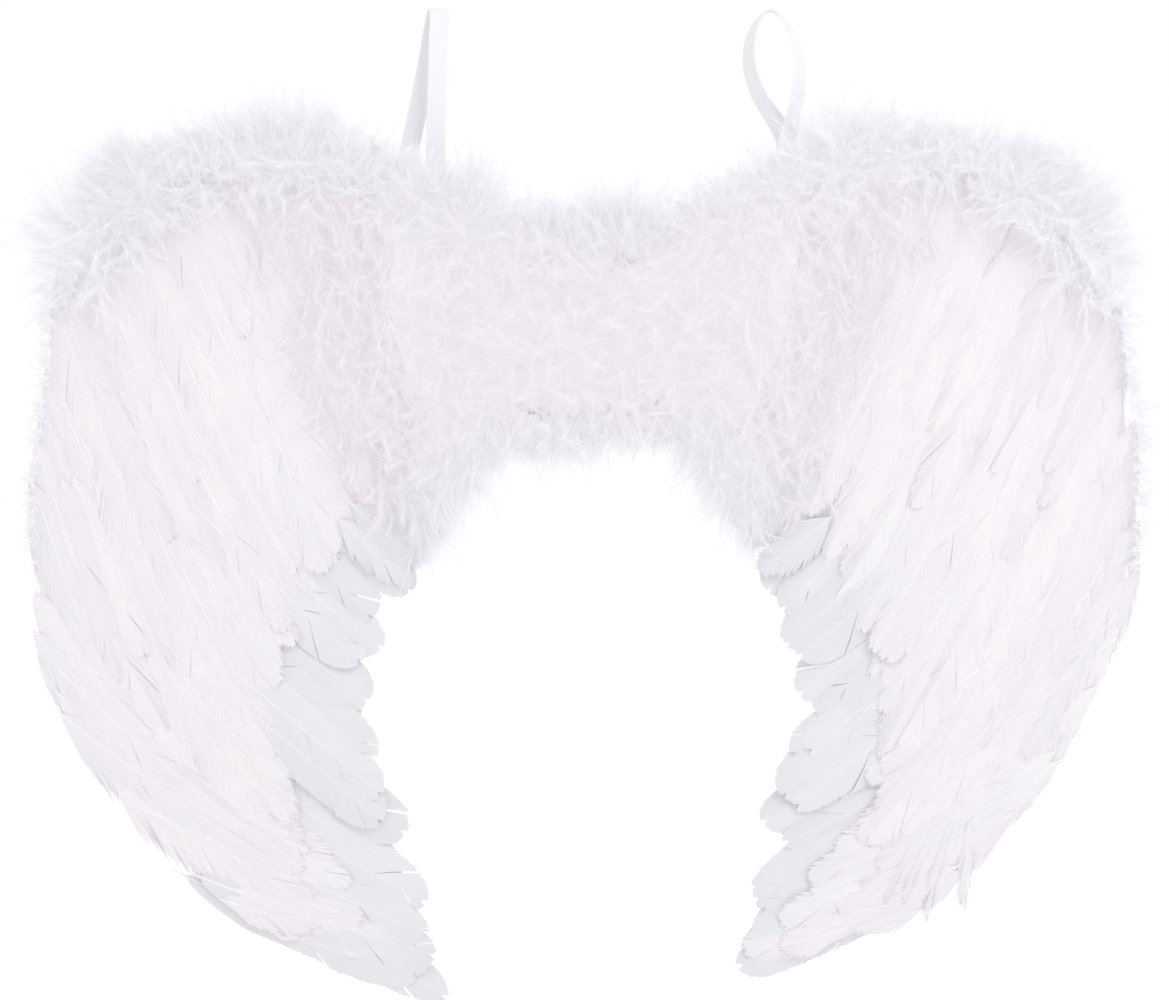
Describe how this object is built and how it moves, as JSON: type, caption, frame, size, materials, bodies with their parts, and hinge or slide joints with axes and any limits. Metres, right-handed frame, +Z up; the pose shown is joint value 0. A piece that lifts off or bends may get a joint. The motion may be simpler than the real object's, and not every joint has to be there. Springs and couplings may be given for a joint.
{
  "type": "feather costume wings",
  "caption": "Pair of white feather wings on stiff panels that fold on tape hinges, with marabou trim and two elastic arm loops.",
  "frame": {"origin": "middle of the centre panel's felt back face, which rests on the wearer's back", "axes": "+X towards the right wing as seen from the feather side, +Y towards the wearer, +Z up"},
  "size_m": [0.6108, 0.0559, 0.5188],
  "materials": {
    "quill_feather": "satin white vane with visible barbs",
    "covert_feather": "soft matt white feather",
    "down": "fluffy marabou down",
    "elastic": "ribbed woven elastic",
    "felt": "pressed non-woven felt",
    "tape": "plain woven cotton tape",
    "card": "grey card",
    "steel": "drawn wire"
  },
  "bodies": {
    "centre_panel": {"centre_back_cover": "felt", "centre_board": "card", "centre_down_pad": "down", "centre_top_marabou": "down", "centre_bottom_fringe": "down", "left_fold_tape": "tape", "right_fold_tape": "tape"},
    "left_wing": {"left_wing_board": "card", "left_back_cover": "felt", "left_leading_edge_wire": "steel", "left_flight_feather_1": "quill_feather", "left_flight_feather_2": "quill_feather", "left_flight_feather_3": "quill_feather", "left_flight_feather_4": "quill_feather", "left_flight_feather_5": "quill_feather", "left_flight_feather_6": "quill_feather", "left_flight_feather_7": "quill_feather", "left_flight_feather_8": "quill_feather", "left_flight_feather_9": "quill_feather", "left_flight_feather_10": "quill_feather", "left_lower_coverts": "covert_feather", "left_middle_coverts": "covert_feather", "left_upper_coverts": "covert_feather", "left_root_down": "down", "left_top_marabou": "down", "left_shoulder_marabou": "down", "left_strap_patch": "felt"},
    "left_strap": {"left_elastic_strap": "elastic"},
    "right_wing": {"right_wing_board": "card", "right_back_cover": "felt", "right_leading_edge_wire": "steel", "right_flight_feather_1": "quill_feather", "right_flight_feather_2": "quill_feather", "right_flight_feather_3": "quill_feather", "right_flight_feather_4": "quill_feather", "right_flight_feather_5": "quill_feather", "right_flight_feather_6": "quill_feather", "right_flight_feather_7": "quill_feather", "right_flight_feather_8": "quill_feather", "right_flight_feather_9": "quill_feather", "right_flight_feather_10": "quill_feather", "right_lower_coverts": "covert_feather", "right_middle_coverts": "covert_feather", "right_upper_coverts": "covert_feather", "right_root_down": "down", "right_top_marabou": "down", "right_shoulder_marabou": "down", "right_strap_patch": "felt"},
    "right_strap": {"right_elastic_strap": "elastic"}
  },
  "joints": [
    {"name": "left_wing_fold", "type": "hinge", "parent": "centre_panel", "child": "left_wing", "pos_m": [-0.05, 0, 0], "axis": [0, 0, -1], "range_deg": [-20, 90], "deforming": ["left_fold_tape"]},
    {"name": "left_strap_swing", "type": "hinge", "parent": "left_wing", "child": "left_strap", "pos_m": [-0.093, 0.0024, 0.001], "axis": [-1, 0, 0], "range_deg": [0, 165]},
    {"name": "right_wing_fold", "type": "hinge", "parent": "centre_panel", "child": "right_wing", "pos_m": [0.05, 0, 0], "axis": [0, 0, 1], "range_deg": [-20, 90], "deforming": ["right_fold_tape"]},
    {"name": "right_strap_swing", "type": "hinge", "parent": "right_wing", "child": "right_strap", "pos_m": [0.1015, 0.0024, 0.001], "axis": [-1, 0, 0], "range_deg": [0, 165]}
  ]
}
